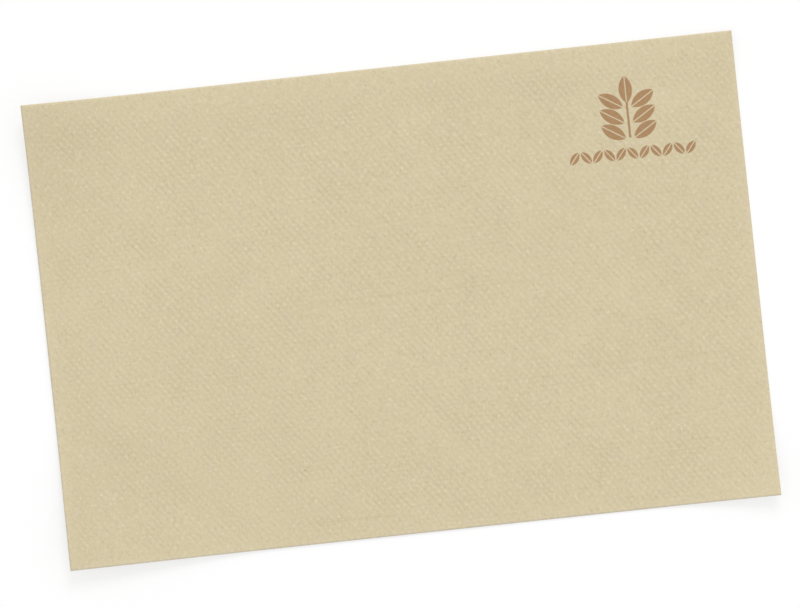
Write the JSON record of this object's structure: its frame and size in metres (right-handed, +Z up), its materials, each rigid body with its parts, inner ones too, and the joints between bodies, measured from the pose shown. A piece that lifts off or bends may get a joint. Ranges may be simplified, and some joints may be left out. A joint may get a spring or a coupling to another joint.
{
  "type": "paper napkin",
  "caption": "Folded paper napkin lying flat, with a rounded fold, two thin layers and curled corners.",
  "frame": {"origin": "on the table, under the middle of the folded napkin", "axes": "+X along the fold, +Y from the open edges to the fold, +Z up"},
  "size_m": [0.165, 0.108, 0.0064],
  "materials": {
    "paper": "soft unbleached tissue with a fine dotted emboss and a small brown print"
  },
  "bodies": {
    "root": {"folded_sheet": "paper"}
  },
  "joints": []
}
